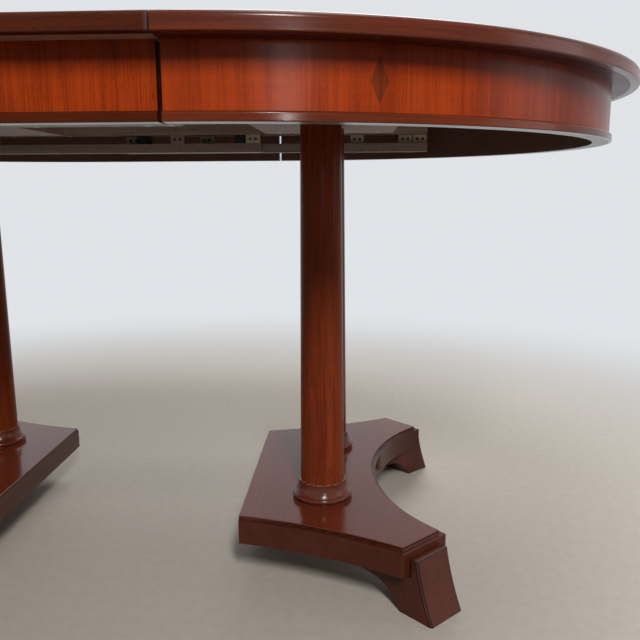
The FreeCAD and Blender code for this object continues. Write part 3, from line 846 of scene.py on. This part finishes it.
class TABLE_OT_finish_slides(bpy.types.Operator):
    """Finish the slides, their blocks and shoes, and the plates over the columns"""

    bl_idname = "table.finish_slides"
    bl_label = "Finish slides"

    def execute(self, context):
        colours, shapes, _ = settings()
        rail = raw("slide_wood", lengthwise, *striped(colours.rail), rough=0.5)
        # Painted shade: the walls and floors of the holes are darkened
        darken(rail, rail.marked(HOLE), HOLE_SHADE_TONE)
        ease(rail, both_halves("front_lower_bar", "back_lower_bar"), shapes.slide_arris)

        upper = raw("upper_slide_wood", lengthwise, *striped(colours.upper_rail), rough=0.5)
        # Painted shade: the upper bar's underside over the slot is darkened
        darken(upper, below(upper, SLOT_TOP), SLOT_AND_JOINT_SHADE)
        upper.set(Specular_IOR_Level=SLOT_SHEEN)
        ease(upper, both_halves("front_upper_bar", "back_upper_bar"), shapes.slide_arris)

        block = raw("end_block_wood", lengthwise, *striped(colours.block, PALE_STRIPE_TONE), rough=0.5)
        # Painted shade: the walls and floors of the holes are darkened
        darken(block, block.marked(HOLE), HOLE_SHADE_TONE)
        mark_holes(rail, ["left_rail_spacers"])
        mark_holes(block, ["right_rail_spacers"])
        mark_holes(block, both_halves("rail_end_blocks"))

        plate = raw("plate_wood", lengthwise, *striped(colours.plate, PALE_STRIPE_TONE), rough=0.55)
        ease(plate, both_halves("column_plate"), shapes.slide_arris)

        dowel = raw("dowel_wood", standing, colours.dowel_light, colours.dowel_dark, rough=0.55)
        dress(dowel, both_halves("apron_dowels") + ["leaf_apron_dowels"])

        shoe = Finish("dark_nylon")
        speckle = shoe.even_noise(waves=900.0, detail=3.0)
        shoe.set(Base_Color=shoe.mix(speckle, linear(colours.nylon_dark), linear(colours.nylon_light)),
                 Roughness=speckle.span(*NYLON_ROUGHNESS), Specular_IOR_Level=NYLON_SHEEN)
        dress(shoe, both_halves("guide_shoes"))
        return {"FINISHED"}


class TABLE_OT_finish_fixings(bpy.types.Operator):
    """Finish the rods, nuts, bolts and screws"""

    bl_idname = "table.finish_fixings"
    bl_label = "Finish fixings"

    def execute(self, context):
        colours, _, _ = settings()
        steel = Finish("zinc_steel")
        patch_mask = steel.even_noise(waves=250.0, detail=4.0).between(0.35, 0.65)
        steel.set(Base_Color=steel.mix(patch_mask, linear(colours.steel_dull), linear(colours.steel_bright)),
                  Roughness=patch_mask.span(*STEEL_ROUGHNESS), Metallic=1.0)
        fixings = both_halves("tie_rods", "tie_nuts", "plate_screws", "rail_screws", "foot_bolts")
        dress(steel, fixings)
        return {"FINISHED"}


class TABLE_OT_build_stage(bpy.types.Operator):
    """Lay the floor, hang the lights and set up the camera"""

    bl_idname = "table.build_stage"
    bl_label = "Build stage"

    def execute(self, context):
        colours, _, stage = settings()
        scene = context.scene
        scene.view_settings.view_transform = "Standard"
        self.surround(scene, colours, stage)
        self.floor(scene, colours, stage)
        self.lights(scene, stage)
        self.camera(scene, stage)
        return {"FINISHED"}

    def surround(self, scene, colours, stage):
        """Even light on the table, and a plain pale backdrop for the camera and for reflections."""
        world = bpy.data.worlds.new("surround")
        scene.world = world
        world.use_nodes = True
        tree = world.node_tree
        light = tree.nodes["Background"]
        light.inputs["Color"].default_value = linear((1.0, 1.0, 1.0))
        light.inputs["Strength"].default_value = stage.room_light
        seen = tree.nodes.new("ShaderNodeBackground")
        seen.inputs["Color"].default_value = linear(colours.backdrop)
        rays = tree.nodes.new("ShaderNodeLightPath")
        shown = rays.outputs[f"Is {SHOWN_TO[0]} Ray"]
        for kind in SHOWN_TO[1:]:
            either = tree.nodes.new("ShaderNodeMath")
            either.operation = "MAXIMUM"
            tree.links.new(shown, either.inputs[0])
            tree.links.new(rays.outputs[f"Is {kind} Ray"], either.inputs[1])
            shown = either.outputs[0]
        blend = tree.nodes.new("ShaderNodeMixShader")
        tree.links.new(shown, blend.inputs[0])
        tree.links.new(light.outputs[0], blend.inputs[1])
        tree.links.new(seen.outputs[0], blend.inputs[2])
        tree.links.new(blend.outputs[0], tree.nodes["World Output"].inputs["Surface"])

    def floor(self, scene, colours, stage):
        """A plain disc that fades into the backdrop and sends only part of its light back to the table."""
        shape = bmesh.new()
        bmesh.ops.create_circle(shape, cap_ends=True, segments=FLOOR_STEPS, radius=stage.floor_radius)
        mesh = bpy.data.meshes.new("floor")
        shape.to_mesh(mesh)
        shape.free()
        floor = bpy.data.objects.new("floor", mesh)
        scene.collection.objects.link(floor)
        finish = Finish("plain_floor")
        x, y, _ = finish.axes()
        radius = finish.level_distance(x, y)
        fade = radius.between(stage.floor_radius * FADE_START, stage.floor_radius * FADE_END)
        speckle = finish.even_noise(waves=60.0, detail=4.0).between(0.3, 0.7)
        paint = finish.mix(speckle, linear(dimmed(colours.floor, FLOOR_TONE)), linear(colours.floor))
        seen = [finish.node("ShaderNodeLightPath", {}, {}, f"Is {kind} Ray") for kind in SHOWN_TO]
        shown = seen[0].math("MAXIMUM", seen[0], seen[1].math("MAXIMUM", *seen[1:]))
        paint = finish.shade(paint, shown.span(stage.floor_bounce, 1.0))
        finish.set(Base_Color=paint, Roughness=FLOOR_ROUGHNESS)
        tree = finish.tree
        glow = tree.nodes.new("ShaderNodeEmission")
        glow.inputs["Color"].default_value = linear(colours.backdrop)
        either = tree.nodes.new("ShaderNodeMixShader")
        finish.feed(either.inputs[0], fade * shown)
        tree.links.new(finish.shader.outputs[0], either.inputs[1])
        tree.links.new(glow.outputs[0], either.inputs[2])
        tree.links.new(either.outputs[0], tree.nodes["Material Output"].inputs["Surface"])
        mesh.materials.append(finish.material)

    def lights(self, scene, stage):
        """A compact light above the camera, soft ones on the table's right, over it and behind it, and a
        narrow one that shows only in the lacquer."""
        apron = Vector((PITCH, -APRON_RADIUS, APRON_BOTTOM))
        middle = Vector((0.0, 0.0, TABLE_HEIGHT))
        aims = {"key": apron, "side": middle, "top": middle, "back": middle, "glint": apron}
        for name, target in aims.items():
            data = bpy.data.lights.new(f"{name}_light", "AREA")
            data.energy = getattr(stage, f"{name}_watts")
            data.shape = "RECTANGLE"
            data.size, data.size_y = getattr(stage, f"{name}_size")
            light = bpy.data.objects.new(f"{name}_light", data)
            light.visible_diffuse = name != "glint"
            light.location = getattr(stage, f"{name}_place")
            light.rotation_mode = "QUATERNION"
            light.rotation_quaternion = (target - light.location).to_track_quat("-Z", "Y")
            scene.collection.objects.link(light)

    def camera(self, scene, stage):
        data = bpy.data.cameras.new("camera")
        data.lens = stage.lens
        data.sensor_width = SENSOR_WIDTH
        camera = bpy.data.objects.new("camera", data)
        turn = Matrix.Rotation(stage.yaw, 4, "Z") @ Matrix.Rotation(math.pi / 2 - stage.pitch, 4, "X")
        turn = turn @ Matrix.Rotation(-stage.roll, 4, "Z")
        camera.matrix_world = Matrix.Translation(stage.eye) @ turn
        scene.collection.objects.link(camera)
        scene.camera = camera


class TABLE_PT_panel(bpy.types.Panel):
    """The table's settings and the steps that finish it"""

    bl_idname = "TABLE_PT_panel"
    bl_label = "Extending table"
    bl_space_type = "VIEW_3D"
    bl_region_type = "UI"
    bl_category = "Table"

    def draw(self, context):
        for group in settings():
            box = self.layout.box()
            for name in group.__annotations__:
                box.prop(group, name)
        for step in STEPS:
            self.layout.operator(step.bl_idname)


GROUPS = (TableColours, TableShapes, TableStage)
STEPS = (
    TABLE_OT_finish_aprons,
    TABLE_OT_finish_tops,
    TABLE_OT_finish_pedestals,
    TABLE_OT_finish_slides,
    TABLE_OT_finish_fixings,
    TABLE_OT_build_stage,
)


def register():
    for kind in (*GROUPS, *STEPS, TABLE_PT_panel):
        bpy.utils.register_class(kind)
    bpy.types.Scene.table_colours = PointerProperty(type=TableColours)
    bpy.types.Scene.table_shapes = PointerProperty(type=TableShapes)
    bpy.types.Scene.table_stage = PointerProperty(type=TableStage)


def unregister():
    del bpy.types.Scene.table_stage
    del bpy.types.Scene.table_shapes
    del bpy.types.Scene.table_colours
    for kind in (TABLE_PT_panel, *reversed(STEPS), *reversed(GROUPS)):
        bpy.utils.unregister_class(kind)


def main():
    register()
    bpy.ops.table.finish_aprons()
    bpy.ops.table.finish_tops()
    bpy.ops.table.finish_pedestals()
    bpy.ops.table.finish_slides()
    bpy.ops.table.finish_fixings()
    bpy.ops.table.build_stage()


if __name__ == "__main__":
    main()
